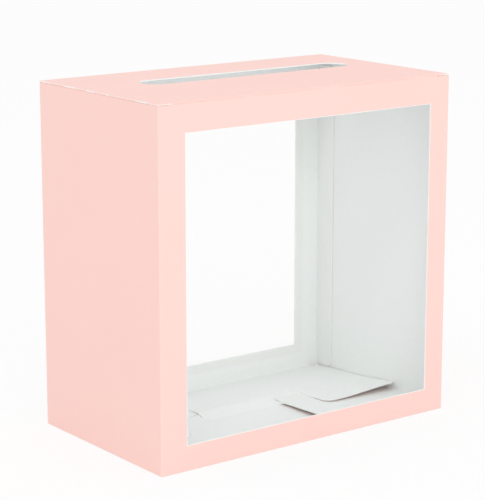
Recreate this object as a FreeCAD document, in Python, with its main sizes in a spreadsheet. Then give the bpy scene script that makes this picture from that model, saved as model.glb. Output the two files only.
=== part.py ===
import FreeCAD, Part
import math
import os
import Sketcher

# Wedding card box: a folded paperboard box with a window front and back, a slotted lid that tucks in,
# and a bottom of four flaps that lock together.
# Millimetres. X runs to the right seen from the front, Y to the back, Z up. The origin is the base's centre.

SIZES = {
    # outside of the closed box, and the board it is folded from
    "width": 254.0,
    "depth": 146.0,
    "height": 251.0,
    "board": 0.8,
    "fold_radius": 0.5,
    # clearances: at a fold that turns, between board layers, and under the lid
    "crease_gap": 0.1,
    "layer_gap": 0.1,
    "lid_gap": 0.2,
    # frame left round each window, and the film glued behind it
    "window_top": 20.5,
    "window_corner": 1.0,
    "front_window_side": 19.6,
    "front_window_right": 1.9,
    "front_window_bottom": 18.0,
    "back_window_side": 24.5,
    "back_window_bottom": 21.0,
    "film": 0.25,
    "film_lap": 8.0,
    "film_glue": 0.1,
    "film_glue_width": 5.0,
    # glue flap of the seam, at the right wall's back edge
    "seam_setback": 0.4,
    "seam_glue": 0.15,
    "seam_glue_inset": 3.0,
    "glue_flap_width": 18.0,
    "glue_flap_taper": 3.5,
    "glue_flap_low": 2.0,
    "glue_flap_drop": 7.0,
    # lid with its card slot, the unfolded ears at its front corners and the tuck flap between them
    "lid_inset": 0.2,
    "slot_length": 182.5,
    "slot_width": 24.0,
    "slot_corner": 6.0,
    "slot_right": 12.4,
    "slot_back": 17.0,
    "lid_ear": 10.0,
    "tuck_gap": 0.15,
    "tuck_depth": 14.0,
    "tuck_lean": 5.0,
    "tuck_side": 1.5,
    "tuck_taper": 5.0,
    "tuck_corner": 8.0,
    # dust flaps of the side walls, under the lid
    "dust_length": 20.0,
    "dust_front": 19.0,
    "dust_back": 3.0,
    "dust_taper": 9.0,
    "dust_corner": 7.0,
    # bottom flap of the back wall, the uppermost, with a notch between two ears
    "floor_side": 0.6,
    "back_flap_reach": 93.0,
    "notch_reach": 57.0,
    "notch_width": 121.0,
    "notch_corner": 4.0,
    "ear_corner": 8.0,
    "ear_tip": 2.0,
    "back_flap_cut": 8.0,
    # bottom flaps of the side walls, sprung up a little at their free edges
    "side_flap_rise": 1.2,
    "side_flap_setback": 52.0,
    "side_flap_front": 6.0,
    "side_flap_taper": 12.0,
    "side_flap_corner": 4.0,
    # bottom flap of the front wall, the lowest, whose tongue comes up through the notch
    "front_flap_inset": 4.0,
    "front_flap_taper": 14.0,
    "front_flap_corner": 10.0,
    "tongue_width": 68.0,
    "tongue_clear": 1.0,
    "tongue_ramp": 11.0,
    "tongue_lap": 13.0,
    "tongue_corner": 5.0,
}

HALF_WIDTH = "Sizes.width / 2"
HALF_DEPTH = "Sizes.depth / 2"
INNER_WIDTH = "(Sizes.width / 2 - Sizes.board)"
INNER_DEPTH = "(Sizes.depth / 2 - Sizes.board)"
WALL_TOP = "(Sizes.height - Sizes.board - Sizes.lid_gap)"
WINDOW_TOP = "(Sizes.height - Sizes.window_top)"
WINDOW_SIDES = {
    "front": (
        "(-Sizes.width / 2 + Sizes.front_window_side + Sizes.front_window_right)",
        "(Sizes.width / 2 - Sizes.front_window_side + Sizes.front_window_right)",
    ),
    "back": (
        "(-Sizes.width / 2 + Sizes.back_window_side)",
        "(Sizes.width / 2 - Sizes.back_window_side)",
    ),
}
WINDOW_BOTTOM = {"front": "Sizes.front_window_bottom", "back": "Sizes.back_window_bottom"}
SEAM_CORNER = "(Sizes.width / 2 - 2 * Sizes.board - Sizes.seam_glue)"
LID_FOLD = "(-Sizes.depth / 2 + Sizes.board + Sizes.tuck_gap)"
BACK_CREASE = "(Sizes.depth / 2 - Sizes.board - Sizes.crease_gap)"
FRONT_CREASE = "(-Sizes.depth / 2 + Sizes.board + Sizes.crease_gap)"
FLOOR_LAYERS = "(2 * Sizes.board + 2 * Sizes.layer_gap)"
BACK_FLAP_SLOPE = f"(({FLOOR_LAYERS} + Sizes.side_flap_rise) / Sizes.side_flap_setback)"
TONGUE_HALF = "(Sizes.tongue_width / 2)"
SIDE_FLAP_LENGTH = f"({INNER_WIDTH} - Sizes.crease_gap - {TONGUE_HALF} - Sizes.tongue_clear)"
FOLD_SINE = "sin(45)"
TOUCH = 1e-4

doc = FreeCAD.newDocument("wedding_card_box")
sheet = doc.addObject("Spreadsheet::Sheet", "Sizes")
for row, (alias, size) in enumerate(SIZES.items(), start=1):
    sheet.set(f"A{row}", str(size))
    sheet.setAlias(f"A{row}", alias)
doc.recompute()


def value(expression):
    """Number that an expression on the sheet gives now."""
    return float(sheet.evalExpression(expression))


def new_body(label, base=("0", "0", "0"), axis=(0, 0, 1), angle=None):
    """Body with its label, its place bound to the sheet and, where given, its turn about an axis."""
    body = doc.addObject("PartDesign::Body", label)
    body.Label = label
    if angle is not None:
        body.Placement = FreeCAD.Placement(
            FreeCAD.Vector(), FreeCAD.Rotation(FreeCAD.Vector(*axis), value(angle))
        )
        body.setExpression("Placement.Rotation.Angle", angle)
    for letter, expression in zip("xyz", base):
        body.setExpression(f"Placement.Base.{letter}", expression)
    return body


def arc_between(start, end, radius):
    """Arc from start to end, turning left about a centre on the left of the chord."""
    chord = end - start
    left = FreeCAD.Vector(-chord.y, chord.x, 0).normalize()
    centre = (start + end) / 2 + left * math.sqrt(radius**2 - chord.Length**2 / 4)
    angles = [math.atan2(point.y - centre.y, point.x - centre.x) for point in (start, end)]
    circle = Part.Circle(centre, FreeCAD.Vector(0, 0, 1), radius)
    return Part.ArcOfCircle(circle, *angles)


def outline(body, name, corners, plane="XY_Plane"):
    """Closed sketch whose corners are bound to the sheet.

    A corner is its two coordinates. A third value is the radius of a left-turning arc to the next corner.
    """
    sketch = body.newObject("Sketcher::SketchObject", name)
    origin_plane = next(item for item in body.Origin.OriginFeatures if item.Role == plane)
    sketch.AttachmentSupport = [(origin_plane, "")]
    sketch.MapMode = "FlatFace"
    points = [FreeCAD.Vector(value(corner[0]), value(corner[1]), 0) for corner in corners]
    following = points[1:] + points[:1]
    for corner, start, end in zip(corners, points, following):
        if len(corner) == 3:
            sketch.addGeometry(arc_between(start, end, value(corner[2])), False)
        else:
            sketch.addGeometry(Part.LineSegment(start, end), False)
    for index in range(len(corners)):
        joined = Sketcher.Constraint("Coincident", index, 2, (index + 1) % len(corners), 1)
        sketch.addConstraint(joined)
    for index, corner in enumerate(corners):
        for kind, expression in zip(("DistanceX", "DistanceY"), corner):
            drive(sketch, Sketcher.Constraint(kind, -1, 1, index, 1, value(expression)), expression)
        if len(corner) == 3:
            drive(sketch, Sketcher.Constraint("Radius", index, value(corner[2])), corner[2])
    return sketch


def drive(sketch, constraint, expression):
    """Add a constraint whose value follows the sheet."""
    index = sketch.addConstraint(constraint)
    sketch.setExpression(f"Constraints[{index}]", expression)


def rectangle(left, right, low, high):
    """Corners of a rectangle, counter-clockwise."""
    return [(left, low), (right, low), (right, high), (left, high)]


def pad(body, sketch, length, symmetric=False):
    """Raise a sketch off its plane."""
    feature = body.newObject("PartDesign::Pad", sketch.Name + "_pad")
    feature.Profile = sketch
    feature.Midplane = symmetric
    feature.setExpression("Length", length)
    doc.recompute()
    return feature


def pocket_through(body, sketch):
    """Cut a sketch right through the body, and make sure that it took something away."""
    before = body.Shape.Volume
    feature = body.newObject("PartDesign::Pocket", sketch.Name + "_pocket")
    feature.Profile = sketch
    feature.Midplane = True
    feature.Type = "ThroughAll"
    doc.recompute()
    if feature.Shape.Volume >= before:
        raise RuntimeError(f"{feature.Name} cut nothing")
    return feature


def edges_where(feature, wanted):
    """Names of a feature's edges whose two ends both pass a test."""
    return [
        f"Edge{number}"
        for number, edge in enumerate(feature.Shape.Edges, start=1)
        if all(wanted(vertex.Point) for vertex in edge.Vertexes)
    ]


def through_edges(feature, wanted, axis):
    """Those of the wanted edges that run through the board, along the given axis."""
    along_axis = []
    for name in edges_where(feature, wanted):
        first, last = (vertex.Point for vertex in feature.getSubObject(name).Vertexes)
        if abs(getattr(last - first, axis)) > TOUCH:
            along_axis.append(name)
    return along_axis


def near(number, expression):
    """Whether a coordinate is the one that an expression gives."""
    return abs(number - value(expression)) < TOUCH


def fillet(body, feature, name, edges, radius):
    """Round the named edges of a feature."""
    if not edges:
        raise RuntimeError(f"{name} found no edge to round")
    rounded = body.newObject("PartDesign::Fillet", name)
    rounded.Base = (feature, edges)
    rounded.setExpression("Radius", radius)
    doc.recompute()
    return rounded


def round_corners(body, feature, name, corners, radius):
    """Round the upright edges of a flat piece at the given corners."""
    edges = []
    for across, along in corners:
        edges += edges_where(feature, lambda point: near(point.x, across) and near(point.y, along))
    return fillet(body, feature, name, edges, radius)


def mirrored(corners):
    """Corners and their mirror images in the middle plane."""
    return corners + [(f"-({across})", along) for across, along in corners]


def wall_plan(left, right, left_folds, right_folds):
    """Plan of a wall: outer face on the X axis, inner face one board behind it.

    A folded end is half of the corner's bend, about the inner corner. Any other end is cut square.
    """
    bend = f"Sizes.board * {FOLD_SINE}"
    bend_depth = f"Sizes.board * (1 - {FOLD_SINE})"
    corners = [(left, "0")]
    if right_folds:
        corners += [(right, "0", "Sizes.board"), (f"{right} + {bend}", bend_depth)]
    else:
        corners += [(right, "0")]
    corners += [(right, "Sizes.board"), (left, "Sizes.board")]
    if left_folds:
        corners += [(f"{left} - {bend}", bend_depth, "Sizes.board")]
    return corners


def wall(label, plan, top, base, turn, folds_at_top):
    """Wall of the tube, standing on the folds of its bottom flap."""
    body = new_body(label, base=base, angle=turn)
    raised = pad(body, outline(body, label + "_plan", plan), top)

    def on_outer_rim(point, height):
        return near(point.z, height) and point.y < value("Sizes.board / 2")

    edges = edges_where(raised, lambda point: on_outer_rim(point, "0"))
    if folds_at_top:
        edges += edges_where(raised, lambda point: on_outer_rim(point, top))
    fillet(body, raised, label + "_folds", edges, "Sizes.fold_radius")
    return body


def cut_window(body, side):
    """Window opening of the front or the back wall."""
    left, right = WINDOW_SIDES[side]
    bottom = WINDOW_BOTTOM[side]
    corners = rectangle(left, right, bottom, WINDOW_TOP)
    cut = pocket_through(body, outline(body, side + "_window", corners, "XZ_Plane"))

    def at_window_corner(point):
        beside = near(point.x, left) or near(point.x, right)
        return beside and (near(point.z, bottom) or near(point.z, WINDOW_TOP))

    edges = through_edges(cut, at_window_corner, "y")
    fillet(body, cut, side + "_window_corners", edges, "Sizes.window_corner")


def make_walls():
    """The four walls, which fold into one tube. The right wall's back edge is the seam."""
    front_plan = wall_plan(f"-{INNER_WIDTH}", INNER_WIDTH, True, True)
    front = wall("front_panel", front_plan, WALL_TOP, ("0", f"-{HALF_DEPTH}", "0"), "0", False)
    cut_window(front, "front")
    back_plan = wall_plan(f"-{SEAM_CORNER}", INNER_WIDTH, True, True)
    back_top = "(Sizes.height - Sizes.board - Sizes.crease_gap)"
    back = wall("back_panel", back_plan, back_top, ("0", HALF_DEPTH, "0"), "180", False)
    cut_window(back, "back")
    left_plan = wall_plan(f"-{INNER_DEPTH}", INNER_DEPTH, True, True)
    left = wall("left_panel", left_plan, WALL_TOP, (f"-{HALF_WIDTH}", "0", "0"), "-90", True)
    seam_edge = f"({HALF_DEPTH} - Sizes.seam_setback)"
    right_plan = wall_plan(f"-{INNER_DEPTH}", seam_edge, True, False)
    right = wall("right_panel", right_plan, WALL_TOP, (HALF_WIDTH, "0", "0"), "90", True)
    return [front, back, left, right]


def make_glue_flap():
    """Flap folded from the back wall along the inside of the right wall, with tapered ends."""
    label = "glue_flap"
    length = f"({WALL_TOP} - Sizes.glue_flap_low - Sizes.glue_flap_drop)"
    body = new_body(label, base=(SEAM_CORNER, INNER_DEPTH, "Sizes.glue_flap_low"))
    bend = f"Sizes.board * {FOLD_SINE}"
    plan = [
        ("0", "0"),
        ("0", "-Sizes.glue_flap_width"),
        ("Sizes.board", "-Sizes.glue_flap_width"),
        ("Sizes.board", "0", "Sizes.board"),
        (bend, bend),
    ]
    raised = pad(body, outline(body, label + "_plan", plan), length)

    def on_free_end(point):
        return near(point.y, "-Sizes.glue_flap_width") and (near(point.z, "0") or near(point.z, length))

    ends = through_edges(raised, on_free_end, "x")
    taper = body.newObject("PartDesign::Chamfer", label + "_taper")
    taper.Base = (raised, ends)
    taper.setExpression("Size", "Sizes.glue_flap_taper")
    doc.recompute()
    return [body]


def box(label, size, corner):
    """Plain sheet with square edges, by its size and its lowest corner."""
    piece = doc.addObject("Part::Box", label)
    piece.Label = label
    for name, expression in zip(("Length", "Width", "Height"), size):
        piece.setExpression(name, expression)
    for letter, expression in zip("xyz", corner):
        piece.setExpression(f"Placement.Base.{letter}", expression)
    return piece


def make_seam_glue():
    """Glue line between the glue flap and the right wall."""
    inset = "(Sizes.glue_flap_taper + Sizes.seam_glue_inset)"
    low = f"(Sizes.glue_flap_low + {inset})"
    size = (
        "Sizes.seam_glue",
        "Sizes.glue_flap_width - 2 * Sizes.seam_glue_inset",
        f"{WALL_TOP} - Sizes.glue_flap_drop - {inset} - {low}",
    )
    across = f"{INNER_WIDTH} - Sizes.seam_glue"
    along = f"{INNER_DEPTH} - Sizes.glue_flap_width + Sizes.seam_glue_inset"
    return [box("side_seam_glue", size, (across, along, low))]


def film_sheet(label, side, thickness, nearest, margin):
    """Sheet that covers a window with a margin all round, its front face at a given depth."""
    left, right = WINDOW_SIDES[side]
    bottom = WINDOW_BOTTOM[side]
    size = (f"{right} - {left} + 2 * {margin}", thickness, f"{WINDOW_TOP} - {bottom} + 2 * {margin}")
    corner = (f"{left} - {margin}", nearest, f"{bottom} - {margin}")
    return box(label, size, corner)


def make_windows():
    """Clear film behind each window, on its frame of glue."""
    outer = "(Sizes.film_lap - (Sizes.film_lap - Sizes.film_glue_width) / 2)"
    inner = "((Sizes.film_lap - Sizes.film_glue_width) / 2)"
    glue_depth = {
        "front": f"-{INNER_DEPTH}",
        "back": f"{INNER_DEPTH} - Sizes.film_glue",
    }
    film_depth = {
        "front": f"-{INNER_DEPTH} + Sizes.film_glue",
        "back": f"{INNER_DEPTH} - Sizes.film_glue - Sizes.film",
    }
    pieces = []
    for side in ("front", "back"):
        film = (side, "Sizes.film", film_depth[side], "Sizes.film_lap")
        pieces.append(film_sheet(f"{side}_window_film", *film))
        glue = doc.addObject("Part::Cut", f"{side}_film_glue")
        glue.Label = f"{side}_film_glue"
        layer = (side, "Sizes.film_glue", glue_depth[side])
        glue.Base = film_sheet(f"{side}_glue_sheet", *layer, outer)
        glue.Tool = film_sheet(f"{side}_glue_opening", *layer, inner)
        pieces.append(glue)
    return pieces


def slot_outline(body):
    """Long card slot with rounded corners."""
    radius = "Sizes.slot_corner"
    left = "Sizes.slot_right - Sizes.slot_length / 2"
    right = "Sizes.slot_right + Sizes.slot_length / 2"
    front = "Sizes.slot_back - Sizes.slot_width / 2"
    back = "Sizes.slot_back + Sizes.slot_width / 2"
    corners = [
        (f"{left} + {radius}", front),
        (f"{right} - {radius}", front, radius),
        (right, f"{front} + {radius}"),
        (right, f"{back} - {radius}", radius),
        (f"{right} - {radius}", back),
        (f"{left} + {radius}", back, radius),
        (left, f"{back} - {radius}"),
        (left, f"{front} + {radius}", radius),
    ]
    return outline(body, "card_slot", corners)


def make_lid():
    """Lid over the walls' top edges. It folds down between two flat ears at its front corners."""
    label = "lid_panel"
    edge = f"({HALF_WIDTH} - Sizes.lid_inset)"
    ear = f"({edge} - Sizes.lid_ear)"
    body = new_body(label, base=("0", "0", "Sizes.height - Sizes.board"))
    plan = [
        (f"-{edge}", f"-{HALF_DEPTH}"),
        (f"-{ear}", f"-{HALF_DEPTH}"),
        (f"-{ear}", LID_FOLD),
        (ear, LID_FOLD),
        (ear, f"-{HALF_DEPTH}"),
        (edge, f"-{HALF_DEPTH}"),
        (edge, HALF_DEPTH),
        (f"-{edge}", HALF_DEPTH),
    ]
    pad(body, outline(body, label + "_plan", plan), "Sizes.board")
    slotted = pocket_through(body, slot_outline(body))

    def on_fold(point):
        return near(point.z, "Sizes.board") and (near(point.y, HALF_DEPTH) or near(point.y, LID_FOLD))

    fillet(body, slotted, label + "_folds", edges_where(slotted, on_fold), "Sizes.fold_radius")
    return [body]


def make_tuck_flap():
    """Flap that hangs from the lid's front fold behind the front wall, leaning in a little."""
    label = "tuck_flap"
    crease = (f"{LID_FOLD} + Sizes.board", "Sizes.height - Sizes.board - Sizes.crease_gap")
    body = new_body(label, base=("0", *crease), axis=(1, 0, 0), angle="Sizes.tuck_lean")
    top = f"({INNER_WIDTH} - Sizes.tuck_side)"
    tip = f"({top} - Sizes.tuck_taper)"
    corners = [
        (f"-{tip}", "-Sizes.tuck_depth"),
        (tip, "-Sizes.tuck_depth"),
        (top, "0"),
        (f"-{top}", "0"),
    ]
    raised = pad(body, outline(body, label + "_face", corners, "XZ_Plane"), "Sizes.board")

    def at_lower_corner(point):
        return near(point.z, "-Sizes.tuck_depth") and near(abs(point.x), tip)

    fillet(body, raised, label + "_corners", through_edges(raised, at_lower_corner, "y"), "Sizes.tuck_corner")
    return [body]


def make_dust_flaps():
    """Flap of each side wall, folded in flat under the lid."""
    pieces = []
    front = f"(-{INNER_DEPTH} + Sizes.dust_front)"
    back = f"({INNER_DEPTH} - Sizes.dust_back)"
    for label, sign in (("left_dust_flap", "-1"), ("right_dust_flap", "1")):
        crease = f"{sign} * ({INNER_WIDTH} - Sizes.crease_gap)"
        free = f"{sign} * ({INNER_WIDTH} - Sizes.crease_gap - Sizes.dust_length)"
        free_corners = [(free, f"{back} - Sizes.dust_taper"), (free, f"{front} + Sizes.dust_taper")]
        body = new_body(label, base=("0", "0", f"{WALL_TOP} - Sizes.board"))
        plan = [(crease, front), (crease, back)] + free_corners
        raised = pad(body, outline(body, label + "_plan", plan), "Sizes.board")
        round_corners(body, raised, label + "_corners", free_corners, "Sizes.dust_corner")
        pieces.append(body)
    return pieces


def make_back_flap():
    """Bottom flap of the back wall. It slopes up over the side flaps, so its ears stand clear of them."""
    label = "bottom_back_flap"
    base = ("0", BACK_CREASE, "0")
    body = new_body(label, base=base, axis=(-1, 0, 0), angle=f"atan({BACK_FLAP_SLOPE})")
    side = f"({INNER_WIDTH} - Sizes.floor_side)"
    crease_end = f"({side} - Sizes.back_flap_cut)"
    notch = "(Sizes.notch_width / 2)"
    right_half = [
        (notch, "-Sizes.notch_reach"),
        (notch, "-Sizes.back_flap_reach"),
        (side, "-Sizes.back_flap_reach"),
        (side, "-Sizes.back_flap_cut"),
        (crease_end, "0"),
    ]
    left_half = [(f"-{across}", along) for across, along in reversed(right_half)]
    raised = pad(body, outline(body, label + "_plan", right_half + left_half), "Sizes.board")
    roundings = (
        ("notch_corners", [(notch, "-Sizes.notch_reach")], "Sizes.notch_corner"),
        ("ear_corners", [(notch, "-Sizes.back_flap_reach")], "Sizes.ear_corner"),
        ("ear_tips", [(side, "-Sizes.back_flap_reach")], "Sizes.ear_tip"),
    )
    for name, corners, radius in roundings:
        raised = round_corners(body, raised, name, mirrored(corners), radius)
    return [body]


def make_side_flaps():
    """Bottom flap of each side wall, under the back flap, with its free edge sprung up."""
    pieces = []
    front = f"({FRONT_CREASE} + Sizes.side_flap_front)"
    back = f"({BACK_CREASE} - Sizes.side_flap_setback)"
    wall_setback = f"({FLOOR_LAYERS} / {BACK_FLAP_SLOPE})"
    for label, sign in (("bottom_left_flap", -1), ("bottom_right_flap", 1)):
        free = f"{-sign} * {SIDE_FLAP_LENGTH}"
        free_corners = [(free, back), (free, f"{front} + Sizes.side_flap_taper")]
        base = (f"{sign} * ({INNER_WIDTH} - Sizes.crease_gap)", "0", "Sizes.board + Sizes.layer_gap")
        tilt = f"atan(Sizes.side_flap_rise / {SIDE_FLAP_LENGTH})"
        body = new_body(label, base=base, axis=(0, sign, 0), angle=tilt)
        plan = [("0", front), ("0", f"{BACK_CREASE} - {wall_setback}")] + free_corners
        raised = pad(body, outline(body, label + "_plan", plan), "Sizes.board")
        round_corners(body, raised, label + "_corners", free_corners, "Sizes.side_flap_corner")
        pieces.append(body)
    return pieces


def make_front_flap():
    """Bottom flap of the front wall. Its tongue rises between the side flaps and lies on the back flap."""
    label = "bottom_front_flap"
    crest = f"({BACK_CREASE} - Sizes.notch_reach - Sizes.layer_gap)"
    rear = f"({crest} - Sizes.tongue_ramp)"
    tip = f"({crest} + Sizes.tongue_lap)"
    back_flap_thickness = f"Sizes.board / cos(atan({BACK_FLAP_SLOPE}))"
    crest_height = f"(Sizes.notch_reach * {BACK_FLAP_SLOPE} + {back_flap_thickness} + Sizes.layer_gap)"
    tip_height = f"({crest_height} - Sizes.tongue_lap * {BACK_FLAP_SLOPE})"
    crease_end = f"({INNER_WIDTH} - Sizes.front_flap_inset)"
    rear_end = f"({crease_end} - Sizes.front_flap_taper)"
    body = new_body(label)
    crease = [(f"-{crease_end}", FRONT_CREASE), (crease_end, FRONT_CREASE)]
    plan = crease + [(rear_end, rear), (f"-{rear_end}", rear)]
    flat = pad(body, outline(body, label + "_plan", plan), "Sizes.board")
    flat = round_corners(body, flat, "rear_corners", mirrored([(rear_end, rear)]), "Sizes.front_flap_corner")
    root = (f"{rear} - Sizes.tongue_ramp", "0")
    under_side = [root, (rear, "0"), (crest, crest_height), (tip, tip_height)]
    upper_side = [(along, f"{height} + Sizes.board") for along, height in reversed(under_side)]
    profile = outline(body, "tongue_profile", under_side + upper_side, "YZ_Plane")
    bent = pad(body, profile, "Sizes.tongue_width", symmetric=True)
    round_corners(body, bent, "tongue_corners", mirrored([(TONGUE_HALF, tip)]), "Sizes.tongue_corner")
    return [body]


def check(pieces):
    """Stop if any step failed, or a piece isn't one sound solid."""
    failed = [item.Name for item in doc.Objects if {"Invalid", "Error"} & set(item.State)]
    if failed:
        raise RuntimeError(f"failed steps: {failed}")
    for piece in pieces:
        shape = piece.Shape
        if shape.isNull() or not shape.isValid() or len(shape.Solids) != 1:
            raise RuntimeError(f"{piece.Label} isn't one sound solid")


def main():
    """Build every piece, check it and write it out."""
    pieces = make_walls() + make_glue_flap() + make_seam_glue() + make_windows()
    pieces += make_lid() + make_tuck_flap() + make_dust_flaps()
    pieces += make_back_flap() + make_side_flaps() + make_front_flap()
    doc.recompute()
    check(pieces)
    os.makedirs("parts", exist_ok=True)
    for piece in pieces:
        piece.Shape.exportStep(f"parts/{piece.Label}.step")
        print(f"{piece.Label}: {piece.Shape.Volume:.1f} mm3")


main()
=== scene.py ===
"""Wedding card box: board finishes, window films, fold skins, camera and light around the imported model."""

import logging
import math
from collections.abc import Callable, Mapping, Sequence
from dataclasses import dataclass, field
from enum import Enum
from typing import Any

import bmesh
import bpy
from mathutils import Matrix, Vector


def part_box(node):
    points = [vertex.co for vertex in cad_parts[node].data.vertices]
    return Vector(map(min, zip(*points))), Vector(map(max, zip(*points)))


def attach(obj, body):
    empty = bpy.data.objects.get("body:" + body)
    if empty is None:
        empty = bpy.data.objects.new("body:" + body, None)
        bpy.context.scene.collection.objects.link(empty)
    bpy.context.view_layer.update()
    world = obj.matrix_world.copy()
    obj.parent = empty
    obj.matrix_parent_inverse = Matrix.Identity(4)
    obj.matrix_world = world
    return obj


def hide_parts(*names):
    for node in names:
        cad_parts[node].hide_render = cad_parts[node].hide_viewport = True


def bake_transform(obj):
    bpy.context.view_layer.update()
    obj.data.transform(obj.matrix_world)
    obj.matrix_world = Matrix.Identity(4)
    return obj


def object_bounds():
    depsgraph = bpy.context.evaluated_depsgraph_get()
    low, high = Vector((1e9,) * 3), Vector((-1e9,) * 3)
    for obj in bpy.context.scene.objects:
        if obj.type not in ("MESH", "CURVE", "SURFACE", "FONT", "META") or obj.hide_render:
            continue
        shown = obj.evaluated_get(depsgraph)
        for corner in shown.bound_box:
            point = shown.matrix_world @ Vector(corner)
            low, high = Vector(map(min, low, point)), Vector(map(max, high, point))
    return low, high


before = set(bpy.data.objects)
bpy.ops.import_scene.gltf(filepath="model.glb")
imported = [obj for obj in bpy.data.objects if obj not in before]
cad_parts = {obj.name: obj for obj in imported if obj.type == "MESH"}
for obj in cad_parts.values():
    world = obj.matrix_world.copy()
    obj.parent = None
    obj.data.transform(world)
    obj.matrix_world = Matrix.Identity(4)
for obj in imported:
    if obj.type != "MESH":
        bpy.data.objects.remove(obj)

log = logging.getLogger("card_box")

Colour = tuple[float, float, float, float]
Span = tuple[float, float]
Cutout = Sequence[Span]
CAD_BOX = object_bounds()
MM = 0.001
WHITE: Colour = (1.0, 1.0, 1.0, 1.0)
NOISE_MEAN = 0.5


def ramp(value: float, low: float, high: float) -> float:
    """Straight rise from 0 at low to 1 at high."""
    return min(max((value - low) / (high - low), 0.0), 1.0)


def rise(value: float, low: float, high: float) -> float:
    """Smooth rise from 0 at low to 1 at high."""
    share = ramp(value, low, high)
    return share * share * (3 - 2 * share)


def cutout(node: str, axes: Sequence[int], margin: float) -> Cutout:
    """Opening that is cut out of a panel.

    Args:
        node: Panel.
        axes: The two axes of the panel's plane.
        margin: Width along the panel's border that holds no part of the opening.

    Returns:
        The opening's lowest and highest place along each axis.
    """
    low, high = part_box(node)
    corners = [
        vertex.co
        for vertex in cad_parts[node].data.vertices
        if all(low[axis] + margin < vertex.co[axis] < high[axis] - margin for axis in axes)
    ]
    return [
        (min(point[axis] for point in corners), max(point[axis] for point in corners))
        for axis in axes
    ]


def srgb(red: int, green: int, blue: int) -> Colour:
    """Linear colour of a display colour.

    Args:
        red: Red from 0 to 255.
        green: Green from 0 to 255.
        blue: Blue from 0 to 255.

    Returns:
        The colour as a shader takes it, opaque.
    """
    linear = []
    for channel in (red, green, blue):
        share = channel / 255
        linear.append(share / 12.92 if share <= 0.04045 else ((share + 0.055) / 1.055) ** 2.4)
    return (*linear, 1.0)


class Printed(Enum):
    """Side of a board that carries the pink print, as its outward direction."""

    FRONT = (0.0, -1.0, 0.0)
    BACK = (0.0, 1.0, 0.0)
    LEFT = (-1.0, 0.0, 0.0)
    RIGHT = (1.0, 0.0, 0.0)
    TOP = (0.0, 0.0, 1.0)
    BOTTOM = (0.0, 0.0, -1.0)


@dataclass(frozen=True)
class Grain:
    """Noise of one size: cells per metre, finer layers on top, and the weight of those layers."""

    scale: float
    detail: float
    roughness: float = 0.5


class Wire:
    """Output of a shader node. Arithmetic on it adds Math nodes to its graph."""

    def __init__(self, graph: "ShaderGraph", socket: bpy.types.NodeSocket) -> None:
        """Keep the graph and the socket."""
        self.graph = graph
        self.socket = socket

    def __add__(self, other: "Wire | float") -> "Wire":
        """Sum."""
        return self.graph.math("ADD", self, other)

    __radd__ = __add__

    def __sub__(self, other: "Wire | float") -> "Wire":
        """Difference."""
        return self.graph.math("SUBTRACT", self, other)

    def __rsub__(self, other: "Wire | float") -> "Wire":
        """Difference from a number."""
        return self.graph.math("SUBTRACT", other, self)

    def __mul__(self, other: "Wire | float") -> "Wire":
        """Product."""
        return self.graph.math("MULTIPLY", self, other)

    __rmul__ = __mul__

    def __gt__(self, other: "Wire | float") -> "Wire":
        """One where this is the greater, else zero."""
        return self.graph.math("GREATER_THAN", self, other)

    def __lt__(self, other: "Wire | float") -> "Wire":
        """One where this is the less, else zero."""
        return self.graph.math("LESS_THAN", self, other)

    def __abs__(self) -> "Wire":
        """Size without its sign."""
        return self.graph.math("ABSOLUTE", self)

    def __or__(self, other: "Wire | float") -> "Wire":
        """Greater of the two."""
        return self.graph.math("MAXIMUM", self, other)


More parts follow.
